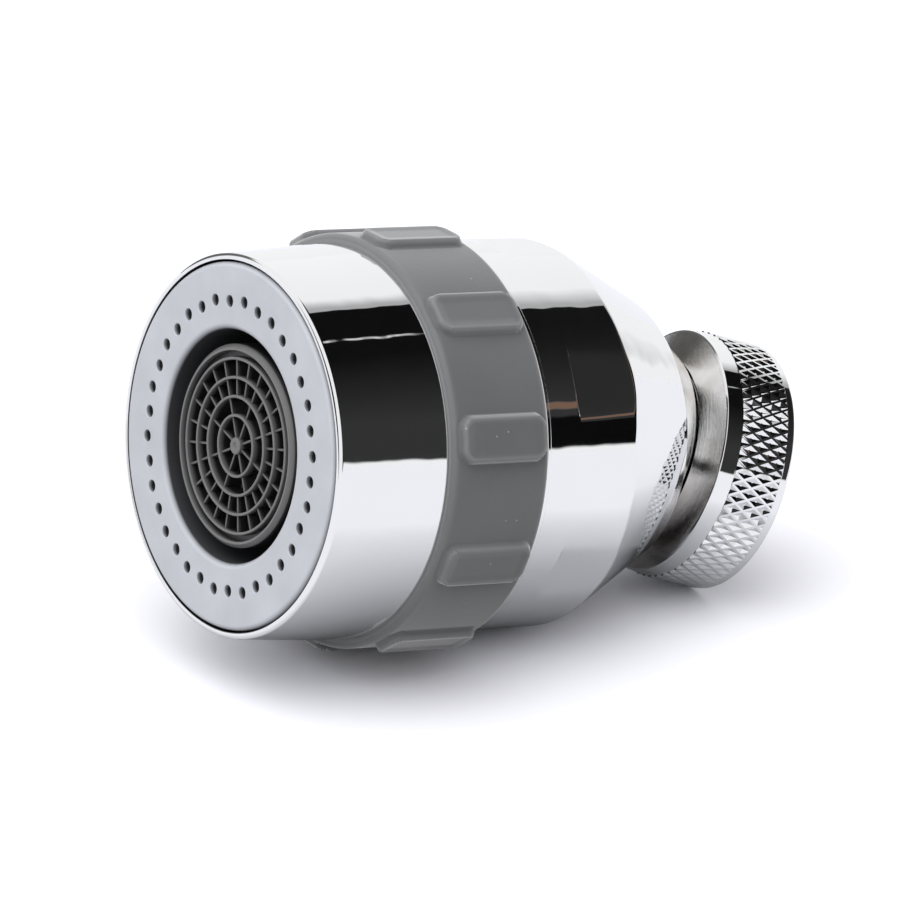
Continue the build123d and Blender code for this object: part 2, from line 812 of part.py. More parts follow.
# Inlet washer and the dome screen that sits in it
with BuildPart() as inlet_washer:
    with BuildSketch(nut_frame.offset(neck_reach)):
        Circle(relief_radius - inlet_washer_clearance)
        Circle(inlet_washer_inner_radius, mode=Mode.SUBTRACT)
    extrude(amount=inlet_washer_thickness)

with BuildPart() as inlet_screen:
    with BuildSketch(nut_section):
        with BuildLine():
            Line((0, dome_top - screen_wall), (0, dome_top))
            TangentArc((0, dome_top), (screen_rim_inner, rim_top), tangent=(1, 0))
            Polyline(
                (screen_rim_inner, rim_top),
                (screen_rim_outer, rim_top),
                (screen_rim_outer, neck_reach),
                (screen_rim_inner, neck_reach),
                (screen_rim_inner, rim_top - screen_wall),
            )
            TangentArc((0, dome_top - screen_wall), (screen_rim_inner, rim_top - screen_wall), tangent=(1, 0))
        make_face()
    revolve(axis=nut_axis)

pieces = {
    "face_plate": face_plate,
    "front_sleeve": front_sleeve,
    "grip_band": grip_band,
    "rear_shell": rear_shell,
    "flow_divider": flow_divider,
    "port_gasket": port_gasket,
    "port_disc": port_disc,
    "pivot_washer": pivot_washer,
    "pivot_screw": pivot_screw,
    "divider_seal": divider_seal,
    "body_seal": body_seal,
    "chamber_seal": chamber_seal,
    "aerator_cup": aerator_cup,
    "aerator_grille": aerator_grille,
    "outlet_screen": outlet_screen,
    "inner_screen": inner_screen,
    "jet_disc": jet_disc,
    "flow_limiter": flow_limiter,
    "limiter_ring": limiter_ring,
    "aerator_gasket": aerator_gasket,
    "ball_retainer": ball_retainer,
    "ball_seal": ball_seal,
    "slip_ring": slip_ring,
    "ball_stem": ball_stem,
    "inlet_nut": inlet_nut,
    "nut_clip": nut_clip,
    "inlet_washer": inlet_washer,
    "inlet_screen": inlet_screen,
}
os.makedirs("parts", exist_ok=True)
for label, piece in pieces.items():
    piece.part.label = label
    export_step(piece.part, f"parts/{label}.step")
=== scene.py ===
import json
from math import atan2, cos, pi, radians, sin, sqrt, tan

import bmesh
import bpy
import numpy as np
from mathutils import Matrix, Vector


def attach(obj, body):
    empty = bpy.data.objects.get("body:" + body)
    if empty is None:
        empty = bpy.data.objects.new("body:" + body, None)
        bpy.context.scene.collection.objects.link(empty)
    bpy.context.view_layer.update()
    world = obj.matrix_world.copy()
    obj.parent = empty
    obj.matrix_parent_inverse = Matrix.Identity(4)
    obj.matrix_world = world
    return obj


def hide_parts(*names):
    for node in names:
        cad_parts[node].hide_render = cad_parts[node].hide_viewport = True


# Looks of the swivel aerator. Lengths are in millimetres in the frame of the head or of the nut, and
# become metres when a mesh is made. A depth runs from the spray face towards the tap, and a reach
# runs from the middle of the ball towards the tap, as in the part's source.
MM = 0.001

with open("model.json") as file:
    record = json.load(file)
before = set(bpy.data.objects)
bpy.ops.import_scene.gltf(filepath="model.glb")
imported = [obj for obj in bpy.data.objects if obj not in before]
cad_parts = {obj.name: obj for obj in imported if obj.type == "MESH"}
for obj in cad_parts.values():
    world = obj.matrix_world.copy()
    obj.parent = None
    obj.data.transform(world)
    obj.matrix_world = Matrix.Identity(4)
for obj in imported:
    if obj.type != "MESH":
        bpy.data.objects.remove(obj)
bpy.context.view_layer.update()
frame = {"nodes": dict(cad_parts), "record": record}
joints = {joint["name"]: joint for joint in frame["record"]["behaviour"]["joints"]}


def local_frame(origin, z_dir, y_dir):
    """Matrix from a piece's own frame to the row's, both in metres"""
    z = Vector(z_dir).normalized()
    x = Vector(y_dir).cross(z).normalized()
    axes = Matrix((x, z.cross(x), z)).transposed().to_4x4()
    return Matrix.Translation(origin) @ axes


mode_turn, nut_spin = joints["mode_turn"], joints["nut_spin"]
head = local_frame(mode_turn["pos_m"], mode_turn["axis"], (1, 0, 0))
nut = local_frame(nut_spin["pos_m"], nut_spin["axis"], joints["swivel_tilt"]["axis"])


# Meshes with exact normals


def unit(v):
    return v / np.linalg.norm(v, axis=-1, keepdims=True)


def full_turn(columns):
    """Evenly spaced angles all the way round"""
    return np.arange(columns) * 2 * pi / columns


def spun(rows, columns):
    """Rows of (radius, depth) turned about the z axis"""
    angles = full_turn(columns)
    turn = np.stack([np.cos(angles), np.sin(angles)], axis=-1)
    depth = np.broadcast_to(rows[:, None, 1:], (len(rows), columns, 1))
    return np.concatenate([rows[:, None, :1] * turn, depth], axis=-1)


class Surface:
    """Grids of points, each with its own exact normal, gathered for one piece"""

    def __init__(self):
        self.points, self.normals, self.faces, self.count = [], [], [], 0

    def grid(self, points, normals, closed=True):
        """Rows of points. A closed grid joins its last column to its first."""
        rows, columns = points.shape[:2]
        index = self.count + np.arange(rows * columns).reshape(rows, columns)
        right = np.roll(index, -1, axis=1)
        if not closed:
            index, right = index[:, :-1], right[:, :-1]
        quads = np.stack([index[:-1], right[:-1], right[1:], index[1:]], axis=-1).reshape(-1, 4)
        flat = points.reshape(-1, 3)
        corners = flat[quads - self.count]
        facing = np.cross(corners[:, 2] - corners[:, 0], corners[:, 3] - corners[:, 1])
        agreement = np.sum(facing * normals.reshape(-1, 3)[quads[:, 0] - self.count])
        if agreement < 0:
            quads = quads[:, ::-1]
        self.points.append(flat)
        self.normals.append(normals.reshape(-1, 3))
        self.faces.append(quads)
        self.count += rows * columns

    def lathe(self, corners, columns=192, steps=5, closed=True):
        """Turns a profile of (radius, depth[, rounding]) corners about the z axis"""
        for points, normals in profile_strips(corners, steps, closed):
            self.grid(spun(points, columns), spun(normals, columns))

    def piece(self, name, matrix, material, body, nodes):
        """The gathered surface as an object that rides on a body"""
        mesh = bpy.data.meshes.new(name)
        points = np.concatenate(self.points) * MM
        mesh.from_pydata(points.tolist(), [], np.concatenate(self.faces).tolist())
        mesh.polygons.foreach_set("use_smooth", [True] * len(mesh.polygons))
        mesh.normals_split_custom_set_from_vertices(unit(np.concatenate(self.normals)).tolist())
        mesh.update()
        return place(name, mesh, matrix, material, body, nodes)


def place(name, mesh, matrix, material, body, nodes):
    """A mesh as an object that rides on a body, stands for CAD nodes and has their slot"""
    mesh.materials.append(material)
    thing = bpy.data.objects.new(name, mesh)
    bpy.context.collection.objects.link(thing)
    thing.matrix_world = matrix
    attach(thing, body)
    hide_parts(*nodes)
    return thing


def profile_strips(corners, steps, closed):
    """Smooth strips of points and outward normals along a profile, split at its sharp corners"""
    at = np.array([corner[:2] for corner in corners], float)
    area = np.sum(at[:, 0] * np.roll(at[:, 1], -1) - np.roll(at[:, 0], -1) * at[:, 1])
    side = 1 if area > 0 else -1
    count = len(at)
    strips, strip = [], []
    order = range(count + 1) if closed else range(count)
    for step in order:
        k = step % count
        here = at[k]
        first, last = not closed and step == 0, not closed and step == count - 1
        d1 = unit(here - at[k - 1]) if not first else unit(at[k + 1] - here)
        d2 = unit(at[(k + 1) % count] - here) if not last else d1
        n1, n2 = side * np.array([d1[1], -d1[0]]), side * np.array([d2[1], -d2[0]])
        rounding = corners[k][2] if len(corners[k]) > 2 else 0
        if rounding and not first and not last:
            turn = atan2(d1[0] * d2[1] - d1[1] * d2[0], d1 @ d2)
            bulge = 1 if turn * side > 0 else -1
            centre = here - d1 * rounding * tan(abs(turn) / 2) - bulge * rounding * n1
            arc = []
            for i in range(steps + 1):
                c, s = cos(turn * i / steps), sin(turn * i / steps)
                n = np.array([c * n1[0] - s * n1[1], s * n1[0] + c * n1[1]])
                arc.append((centre + bulge * rounding * n, n))
            strip = strip + arc if step else [arc[-1]]
        else:
            if strip:
                strips.append(strip + [(here, n1)])
            strip = [(here, n2)]
    if closed and len(strip) > 1:
        strips.append(strip)
    return [(np.array([p for p, _ in s]), np.array([n for _, n in s])) for s in strips if len(s) > 1]


def height_field(surface, radius_at, angles, depths):
    """Outer surface whose radius depends on the angle and on the depth"""
    angle, depth = np.meshgrid(angles, depths)
    step = 1e-4
    radius = radius_at(angle, depth)
    by_angle = (radius_at(angle + step, depth) - radius_at(angle - step, depth)) / (2 * step)
    by_depth = (radius_at(angle, depth + step) - radius_at(angle, depth - step)) / (2 * step)
    c, s = np.cos(angle), np.sin(angle)
    slope = by_angle / radius
    normals = np.stack([c + s * slope, s - c * slope, -by_depth], axis=-1)
    surface.grid(np.stack([radius * c, radius * s, depth], axis=-1), unit(normals))


def smooth(value, low, high):
    """Smooth step from 0 to 1"""
    t = np.clip((value - low) / (high - low), 0, 1)
    return t * t * (3 - 2 * t)


# Materials


class Nodes:
    """Short ways to add and link shader nodes"""

    def __init__(self, tree):
        self.tree = tree
        tree.nodes.clear()

    def add(self, kind, inputs=None, **settings):
        node = self.tree.nodes.new(kind)
        for key, value in settings.items():
            setattr(node, key, value)
        for key, value in (inputs or {}).items():
            if isinstance(value, bpy.types.NodeSocket):
                self.tree.links.new(value, node.inputs[key])
            else:
                node.inputs[key].default_value = value
        return node

    def math(self, operation, *values):
        return self.add("ShaderNodeMath", dict(enumerate(values)), operation=operation).outputs[0]

    def ramp(self, value, *stops):
        node = self.add("ShaderNodeValToRGB", {"Fac": value})
        elements = node.color_ramp.elements
        while len(elements) < len(stops):
            elements.new(0.5)
        for element, (position, colour) in zip(elements, stops):
            element.position = position
            element.color = (*colour, 1)
        return node.outputs["Color"]

    def remap(self, value, low, high, start=0.0, end=1.0):
        """Straight ramp between two values, level outside them"""
        settings = {"Value": value, "From Min": low, "From Max": high, "To Min": start, "To Max": end}
        return self.add("ShaderNodeMapRange", settings).outputs["Result"]

    def mix(self, factor, a, b):
        """Blend of two colours"""
        a, b = (c if isinstance(c, bpy.types.NodeSocket) else (*c, 1) for c in (a, b))
        inputs = {"Factor": factor, "A": a, "B": b}
        return self.add("ShaderNodeMix", inputs, data_type="RGBA").outputs["Result"]

    def noise(self, vector, scale, detail, **settings):
        inputs = {"Vector": vector, "Scale": scale, "Detail": detail, **settings}
        return self.add("ShaderNodeTexNoise", inputs).outputs["Fac"]

    def bump(self, height, strength, distance):
        inputs = {"Height": height, "Strength": strength, "Distance": distance}
        return self.add("ShaderNodeBump", inputs).outputs["Normal"]


def new_material(name):
    material = bpy.data.materials.new(name)
    material.use_nodes = True
    return material, Nodes(material.node_tree)


def finish_material(nodes, **inputs):
    shader = nodes.add("ShaderNodeBsdfPrincipled", {k.replace("_", " "): v for k, v in inputs.items()})
    nodes.add("ShaderNodeOutputMaterial", {"Surface": shader.outputs[0]})


def scaled(colour, factor):
    return tuple(factor * part for part in colour)


def chrome_material(name, colour, roughness):
    """Mirror plating with faint smears and a slight waviness"""
    material, nodes = new_material(name)
    place_at = nodes.add("ShaderNodeTexCoord").outputs["Object"]
    smear = nodes.noise(place_at, 90.0, 4.0)
    wave = nodes.noise(place_at, 260.0, 1.0)
    finish_material(
        nodes,
        Base_Color=nodes.ramp(smear, (0.2, scaled(colour, 0.97)), (0.8, colour)),
        Metallic=1.0,
        Roughness=nodes.remap(smear, 0.3, 0.8, roughness * 0.6, roughness * 1.6),
        Normal=nodes.bump(wave, 1.0, 0.00003),
    )
    return material


def moulded_material(name, colour, roughness, grain, specks=0.0, sheen=0.0, edge_highlight=0.0, shade=None):
    """Moulded plastic or rubber: fine grain, faint cloudy tone, dust as specks, painted highlights on sharp
    edges, a sheen,
    and painted shade: a darker tone between the two depths given as shade, in millimetres behind the spray
    face"""
    material, nodes = new_material(name)
    place_at = nodes.add("ShaderNodeTexCoord").outputs["Object"]
    fine = nodes.noise(place_at, 2500.0, 3.0, Roughness=0.65)
    dust_and_highlight, shaded = (0.5, 0.5, 0.5), (0.004, 0.004, 0.005)
    cloud = nodes.noise(place_at, 160.0, 3.0)
    tone = nodes.ramp(cloud, (0.3, scaled(colour, 0.93)), (0.7, scaled(colour, 1.05)))
    if specks:
        dust = nodes.add("ShaderNodeTexVoronoi", {"Vector": place_at, "Scale": 900.0, "Randomness": 1.0})
        size = nodes.add("ShaderNodeTexWhiteNoise", {"Vector": dust.outputs["Position"]})
        limit = nodes.math("MULTIPLY", nodes.math("POWER", size.outputs["Value"], 9.0), specks)
        speck = nodes.math("LESS_THAN", dust.outputs["Distance"], limit)
        tone = nodes.mix(nodes.math("MULTIPLY", speck, 0.5), tone, dust_and_highlight)
    # Painted highlight: sharp outer edges take the lighter dust tone, as light caught on rims
    if edge_highlight:
        edges = nodes.add("ShaderNodeNewGeometry").outputs["Pointiness"]
        tone = nodes.mix(nodes.remap(edges, 0.5, 0.54, 0.0, edge_highlight), tone, dust_and_highlight)
    # Painted shade: past the near depth the tone darkens towards near black, deep in holes, gaps and recesses
    if shade:
        near, far, darkest = shade
        depth = nodes.add("ShaderNodeSeparateXYZ", {"Vector": place_at}).outputs["Z"]
        tone = nodes.mix(nodes.remap(depth, near * MM, far * MM, 1.0, darkest), shaded, tone)
    finish_material(
        nodes,
        Base_Color=tone,
        Roughness=nodes.remap(fine, 0.0, 1.0, roughness - 0.08, roughness + 0.08),
        Normal=nodes.bump(fine, grain, 0.0001),
        Sheen_Weight=sheen,
        Sheen_Roughness=0.45,
    )
    return material


def turned_material(name, colour, roughness, depth=0.2):
    """Metal turned on a lathe: fine rings about the piece's own axis that draw reflections out
    across them, and a warm stain"""
    material, nodes = new_material(name)
    place_at = nodes.add("ShaderNodeTexCoord").outputs["Object"]
    split = nodes.add("ShaderNodeSeparateXYZ", {"Vector": place_at})
    x, y, z = (split.outputs[k] for k in "XYZ")
    radius = nodes.math("SQRT", nodes.math("ADD", nodes.math("MULTIPLY", x, x), nodes.math("MULTIPLY", y, y)))
    across = nodes.math("MULTIPLY", radius, 1 / MM)
    around = nodes.math("MULTIPLY", nodes.math("ARCTAN2", y, x), 0.5)
    along = nodes.math("MULTIPLY", z, 1 / MM)
    ring_place = nodes.add("ShaderNodeCombineXYZ", {"X": across, "Y": around, "Z": along}).outputs[0]
    rings = nodes.noise(ring_place, 6.0, 5.0, Roughness=0.75)
    red, green, blue = colour
    stained = scaled((red, 0.94 * green, 0.88 * blue), 0.7)
    finish_material(
        nodes,
        Base_Color=nodes.ramp(nodes.noise(place_at, 140.0, 3.0), (0.35, stained), (0.6, colour)),
        Metallic=1.0,
        Roughness=nodes.remap(rings, 0.3, 0.7, roughness * 0.7, roughness * 1.5),
        Normal=nodes.bump(rings, depth, 0.0002),
        Tangent=nodes.add("ShaderNodeTangent", direction_type="RADIAL", axis="Z").outputs["Tangent"],
        Anisotropic=0.8,
        Anisotropic_Rotation=0.25,
    )
    return material


def woven_material(name):
    """Woven steel screen: two crossed sets of wires as bump and tone"""
    material, nodes = new_material(name)
    place_at = nodes.add("ShaderNodeTexCoord").outputs["Object"]
    inputs = {"Vector": place_at, "Scale": 500.0, "Distortion": 0.0}
    wires = [
        nodes.add("ShaderNodeTexWave", inputs, bands_direction=direction).outputs["Fac"]
        for direction in ("X", "Z")
    ]
    weave = nodes.math("MAXIMUM", *wires)
    finish_material(
        nodes,
        Base_Color=nodes.ramp(weave, (0.35, (0.03, 0.03, 0.03)), (0.8, (0.5, 0.5, 0.5))),
        Metallic=0.9,
        Roughness=0.4,
        Normal=nodes.bump(weave, 0.4, 0.0001),
    )
    return material


chrome = chrome_material("chrome", (0.86, 0.865, 0.875), 0.035)
turned = turned_material("turned_face", (0.78, 0.775, 0.77), 0.1, depth=0.14)
# The rubber's sharp edges, such as the pads' rims, get a painted highlight
rubber = moulded_material(
    "grip_rubber", (0.104, 0.107, 0.107), 0.55, grain=0.12, specks=0.12, sheen=0.9, edge_highlight=0.17
)
face_colour, insert_colour = (0.550, 0.570, 0.605), (0.165, 0.163, 0.161)
# Painted shade: the spray face darkens in its holes, round its opening and on its rim, the insert deep in its
# cells and gap
face_plastic = moulded_material("face_plastic", face_colour, 0.42, grain=0.02, shade=(0.03, 0.5, 0.08))
insert_plastic = moulded_material("insert_plastic", insert_colour, 0.38, grain=0.04, shade=(0.8, 1.5, 0.06))
insert_inside = moulded_material("insert_inside", insert_colour, 0.38, grain=0.04)
inner_plastic = moulded_material("inner_plastic", (0.72, 0.72, 0.70), 0.4, grain=0.03)
seal_rubber = moulded_material("seal_rubber", (0.02, 0.02, 0.02), 0.5, grain=0.05)
woven_steel = woven_material("woven_steel")
steel = turned_material("plain_steel", (0.55, 0.55, 0.56), 0.3)

# The front: face plate, sleeve and grip band

plate_radius, plate_round, opening_radius, opening_round = 18.42, 0.55, 11.7, 0.6
plate_thickness, collar_radius, collar_length = 1.8, 12.9, 9.8
skirt_inner, skirt_length = 17.35, 8.95
hole_count, hole_radius, hole_phase = 36, 0.6, -23.75
hole_rings = (14.67, 14.47)
hole_band = (13.45, 15.75)
hole_edge = 0.1


def spray_holes(surface):
    """The flat ring of the face with its holes, ten degrees at a time"""
    steps_a_side, steps_round_edge = 8, 3
    sector = 2 * pi / hole_count
    t = np.linspace(0, 1, steps_a_side, endpoint=False)
    low, high = hole_band
    square = [
        np.stack([low + (high - low) * t, 0 * t - 0.5], axis=-1),
        np.stack([high + 0 * t, t - 0.5], axis=-1),
        np.stack([high + (low - high) * t, 0 * t + 0.5], axis=-1),
        np.stack([low + 0 * t, 0.5 - t], axis=-1),
    ]
    square = np.concatenate(square)
    for hole in range(hole_count):
        middle = radians(hole_phase) + hole * sector
        ring = hole_rings[hole % 2]
        angle = square[:, 1] * sector
        outline = np.stack([square[:, 0] * np.cos(angle), square[:, 0] * np.sin(angle)], axis=-1)
        away = unit(outline - (ring, 0))
        rows, facing = [outline], [(0 * away, -1)]
        edge = hole_radius + hole_edge
        for share in (0.35, 0.75):
            rows.append(outline + (((ring, 0) + away * edge) - outline) * share)
            facing.append((0 * away, -1))
        depths = [0, 0, 0]
        for k in range(steps_round_edge + 1):
            a = pi / 2 * k / steps_round_edge
            rows.append((ring, 0) + away * (edge - hole_edge * sin(a)))
            facing.append((-away * sin(a), -cos(a)))
            depths.append(hole_edge * (1 - cos(a)))
        rows.append(rows[-1])
        facing.append((-away, 0))
        depths.append(plate_thickness)
        points = np.array([np.column_stack([r, np.full(len(r), d)]) for r, d in zip(rows, depths)])
        normals = np.array([np.column_stack([n, np.full(len(n), z)]) for n, z in facing])
        c, s = cos(middle), sin(middle)
        turn = np.array([[c, s, 0], [-s, c, 0], [0, 0, 1]])
        surface.grid(points @ turn, normals @ turn)


plate = Surface()
plate.lathe(
    [
        (hole_band[0], 0),
        (opening_radius, 0, opening_round),
        (opening_radius, collar_length),
        (collar_radius, collar_length),
        (collar_radius, plate_thickness),
        (skirt_inner, plate_thickness),
        (skirt_inner, skirt_length),
        (plate_radius, skirt_length),
        (plate_radius, 0, plate_round),
        (hole_band[1], 0),
    ],
    steps=8,
    closed=False,
)
spray_holes(plate)
plate.piece("spray_face", head, face_plastic, "front", ["face_plate"])

sleeve_front, sleeve_rear, sleeve_bore, sleeve_lip, sleeve_set_back = 19.25, 20.0, 17.25, 18.6, 0.15
lip_depth = 9.0
band_depth, band_length, band_seat = 12.7, 11.7, 19.2
seat_end = band_depth + band_length - 0.2
sleeve = Surface()
sleeve.lathe(
    [
        (sleeve_lip, sleeve_set_back, 0.12),
        (sleeve_front, sleeve_set_back, 0.45),
        (sleeve_rear, band_depth, 0.12),
        (band_seat, band_depth),
        (band_seat, seat_end),
        (sleeve_bore, seat_end),
        (sleeve_bore, lip_depth),
        (sleeve_lip, lip_depth),
    ],
    columns=256,
    steps=8,
)
sleeve.piece("chrome_sleeve", head, chrome, "front", ["front_sleeve"])

band_radius, band_round, pad_count = 20.9, 0.6, 10
pad_radius, pad_half_length, pad_half_width, pad_corner = 21.7, 5.15, 2.45, 1.5
pad_rise, pad_dish = 0.34, 0.13
band_middle = band_depth + band_length / 2


def grip_radius(angle, depth):
    """Radius of the band with its soft pads"""
    from_edge = np.minimum(depth - band_depth, band_depth + band_length - depth)
    round_off = np.clip(1 - from_edge / band_round, 0, 1)
    base = band_radius - band_round * (1 - np.sqrt(1 - np.clip(round_off, 0, 0.995) ** 2))
    sector = 2 * pi / pad_count
    off = angle - np.round(angle / sector) * sector
    across = np.abs(np.tan(off) * pad_radius) - (pad_half_width - pad_corner)
    along = np.abs(depth - band_middle) - (pad_half_length - pad_corner)
    outside = np.hypot(np.maximum(across, 0), np.maximum(along, 0)) + np.minimum(np.maximum(across, along), 0)
    edge = outside - pad_corner
    rise = 1 - smooth(edge, -pad_rise, pad_rise * 0.6)
    dish = pad_dish * smooth(-edge, 0.35, 1.5)
    top = pad_radius / np.cos(off) - dish
    return base + rise * (top - base)


rounding = band_round * (1 - np.cos(np.linspace(0.1, pi / 2, 7)[:-1]))
flat_part = np.linspace(band_round, band_length - band_round, 52)
depths = band_depth + np.concatenate([rounding, flat_part, band_length - rounding[::-1]])
lip_reach = band_radius - band_round * 0.9
band = Surface()
height_field(band, grip_radius, full_turn(560), depths)
band.lathe(
    [
        (lip_reach, depths[-1]),
        (band_radius - band_round, band_depth + band_length),
        (band_seat, band_depth + band_length),
        (band_seat, band_depth),
        (band_radius - band_round, band_depth),
        (lip_reach, depths[0]),
    ],
    columns=256,
    closed=False,
)
band.piece("soft_grip_band", head, rubber, "front", ["grip_band"])

# The aerator insert

cup_radius, cup_front, cup_bevel, rim_inner, rim_depth = 10.2, 0.65, 0.4, 9.56, 1.5
cup_bore, waist_radius, waist_front, waist_back = 8.95, 8.4, 3.6, 8.0
flange_radius, flange_front, flange_back = 11.65, 8.3, 10.0
cup = Surface()
cup.lathe(
    [
        (cup_radius, cup_front + cup_bevel, 0.12),
        (cup_radius - cup_bevel, cup_front, 0.1),
        (rim_inner, cup_front, 0.06),
        (rim_inner, rim_depth),
        (cup_bore, rim_depth),
        (cup_bore, waist_front),
        (waist_radius, waist_front),
        (waist_radius, waist_back),
        (cup_bore, waist_back),
        (cup_bore, flange_back),
        (flange_radius, flange_back),
        (flange_radius, flange_front),
        (cup_radius, flange_front),
    ],
    columns=160,
)
cup.piece("insert_cup", head, insert_plastic, "front", ["aerator_cup"])

ring_radii, ring_wall, grille_front, grille_back, spoke_front = (3.2, 5.1, 7.0, 8.9), 0.3, 0.75, 2.95, 1.05
hub_radius, dimple_radius, dimple_bottom, dimple_depth, pinhole = 0.87, 0.42, 0.30, 0.12, 0.02
spoke_width, outer_spokes, inner_spokes, inner_phase = 0.24, 24, 8, 15.0
grille = Surface()
for radius in ring_radii:
    grille.lathe(
        [
            (radius - ring_wall, grille_front, 0.11),
            (radius, grille_front, 0.11),
            (radius, grille_back),
            (radius - ring_wall, grille_back),
        ],
        columns=128,
        steps=4,
    )
grille.lathe(
    [
        (pinhole, grille_front + dimple_depth + 0.03),
        (dimple_bottom, grille_front + dimple_depth, 0.1),
        (dimple_radius, grille_front, 0.08),
        (hub_radius, grille_front, 0.14),
        (hub_radius, grille_back),
        (pinhole, grille_back),
    ],
    columns=48,
    steps=4,
)


def spoke(surface, angle, start, end):
    """A thin radial wall with a rounded front edge"""
    half, edge, steps = spoke_width / 2, 0.06, 4
    section = [(-half, grille_back, -1, 0), (-half, spoke_front + edge, -1, 0)]
    for k in range(steps + 1):
        a = pi / 2 * k / steps
        section.append((-half + edge * (1 - cos(a)), spoke_front + edge * (1 - sin(a)), -cos(a), -sin(a)))
    section += [(-x, z, -nx, nz) for x, z, nx, nz in reversed(section)]
    c, s = cos(angle), sin(angle)
    rows, facing = [], []
    for reach in (start, end):
        rows.append([(reach * c - x * s, reach * s + x * c, z) for x, z, _, _ in section])
        facing.append([(-nx * s, nx * c, nz) for _, _, nx, nz in section])
    surface.grid(np.array(rows), np.array(facing), closed=False)


ring_middles = [radius - ring_wall / 2 for radius in ring_radii]
for inner, outer in zip(ring_middles[1:], ring_middles[2:]):
    for k in range(outer_spokes):
        spoke(grille, 2 * pi * k / outer_spokes, inner, outer)
for k in range(inner_spokes):
    angle = radians(inner_phase) + 2 * pi * k / inner_spokes
    spoke(grille, angle, hub_radius * 0.8, ring_middles[1])
grille.piece("insert_grille", head, insert_plastic, "front", ["aerator_grille"])

# The rear shell

shell_front, bead_length, bead_radius, shell_radius = 24.6, 0.5, 20.2, 19.9
shoulder_depth, shoulder_radius, shoulder_round = 36.0, 19.8, 0.5
mouth_depth, mouth_radius, lip_radius, seat_radius = 46.7, 14.1, 12.35, 13.65
lip_end, seat_rear, seat_front, shell_bore = 46.1, 44.8, 41.3, 15.5
spigot_radius, spigot_front = 17.19, 15.0
flat_depth, flat_distance, flat_phase, flat_count = 28.8, 19.57, -2.5, 6
cone_end = 45.6
cone_slope = (shoulder_radius - mouth_radius) / (mouth_depth - shoulder_depth)
edge_softness, step_softness, step_height = 0.045, 0.25, 0.6


def shell_outer(angle, depth):
    """Radius of the shell with its spanner flats"""
    wall_slope = (shell_radius - shoulder_radius) / (shoulder_depth - shell_front - bead_length)
    wall = shell_radius - wall_slope * (depth - shell_front - bead_length)
    cone = shoulder_radius - cone_slope * (depth - shoulder_depth)
    span = shoulder_round * 0.5
    low = np.clip((depth - shoulder_depth + span) / (2 * span), 0, 1)
    fallen = 2 * span * (wall_slope * low + (cone_slope - wall_slope) * low**2 / 2)
    shoulder = shoulder_radius + wall_slope * span - fallen
    radius = np.where(depth > shoulder_depth + span, cone, shoulder)
    radius = np.where(depth < shoulder_depth - span, wall, radius)
    sector = 2 * pi / flat_count
    off = angle - radians(flat_phase)
    off = off - np.round(off / sector) * sector
    step = 1 - smooth(depth, flat_depth - step_softness, flat_depth + step_softness)
    flat = flat_distance / np.cos(off) + step * step_height
    gap = np.clip((radius - flat) / edge_softness, -40, 40)
    return radius - edge_softness * np.log1p(np.exp(gap))


# Columns stand close where the flats run out into the round wall, rows at the step and the shoulder
coarse_turn, fine_turn, run_out_start, run_out_end = 1.5, 0.14, 7.5, 11.5
half_flat = 180 / flat_count
offsets = np.concatenate(
    [
        np.arange(-half_flat, -run_out_end, coarse_turn),
        np.arange(-run_out_end, -run_out_start, fine_turn),
        np.arange(-run_out_start, run_out_start, coarse_turn),
        np.arange(run_out_start, run_out_end, fine_turn),
        np.arange(run_out_end, half_flat, coarse_turn),
    ]
)
flats = [offsets + flat_phase + 2 * half_flat * k for k in range(flat_count)]
flat_angles = np.radians(np.concatenate(flats))
shell_depths = np.concatenate(
    [
        [shell_front + bead_length, 27.0, 28.2],
        np.arange(flat_depth - 0.3, flat_depth + 0.3, 0.03),
        np.arange(29.2, 35.4, 1.0),
        np.arange(35.5, 36.7, 0.06),
        [37.0, 40.0, 43.0, cone_end],
    ]
)
shell = Surface()
height_field(shell, shell_outer, flat_angles, shell_depths)
cone_end_radius = shoulder_radius - cone_slope * (cone_end - shoulder_depth)
shell.lathe(
    [
        (cone_end_radius, cone_end),
        (mouth_radius, mouth_depth, 0.4),
        (lip_radius, mouth_depth, 0.1),
        (lip_radius, lip_end),
        (seat_radius, seat_rear),
        (seat_radius, seat_front),
        (shell_bore, seat_front),
        (shell_bore, spigot_front),
        (spigot_radius, spigot_front),
        (spigot_radius, shell_front),
        (bead_radius, shell_front, 0.12),
        (bead_radius, shell_front + bead_length, 0.12),
        (shell_radius, shell_front + bead_length),
    ],
    columns=256,
    steps=6,
    closed=False,
)
shell.piece("chrome_shell", head, chrome, "head", ["rear_shell"])

# The ball and the nut

ball_radius, ball_cut, stem_bore, neck_radius = 12.6, 8.5, 6.0, 9.0
nut_radius, nut_end_radius, ridge_radius, thread_radius, relief_radius = 13.0, 12.9, 12.7, 10.5, 10.9
nut_hole_radius, hole_edge_radius = 9.06, 9.5
ball_gap, ridge_length, collar, knurl_length, end_length = 0.22, 1.5, 1.7, 5.4, 1.05
web_depth, hole_bevel, groove_length, groove_gap, groove_radius = 2.4, 0.44, 0.86, 0.02, 8.45
neck_end_length, relief_length = 0.27, 1.6
nut_front = sqrt(ball_radius**2 - hole_edge_radius**2) + ball_gap
ridge_reach = nut_front + ridge_length
knurl_start = ridge_reach + collar
knurl_end = knurl_start + knurl_length
nut_end = knurl_end + end_length
web_reach = nut_front + web_depth
groove_start = web_reach + groove_gap
groove_end = groove_start + groove_length
neck_reach = groove_end + neck_end_length
relief_end = neck_reach + relief_length
cut_radius = sqrt(ball_radius**2 - ball_cut**2)
neck_start = sqrt(ball_radius**2 - neck_radius**2)
arc = np.linspace(atan2(-ball_cut, cut_radius), atan2(neck_start, neck_radius), 48)
ball_turn = full_turn(192)
across, along = np.outer(np.cos(arc), np.cos(ball_turn)), np.outer(np.cos(arc), np.sin(ball_turn))
up = np.outer(np.sin(arc), np.ones(len(ball_turn)))
normals = np.stack([across, along, up], axis=-1)
stem = Surface()
stem.grid(normals * ball_radius, normals)
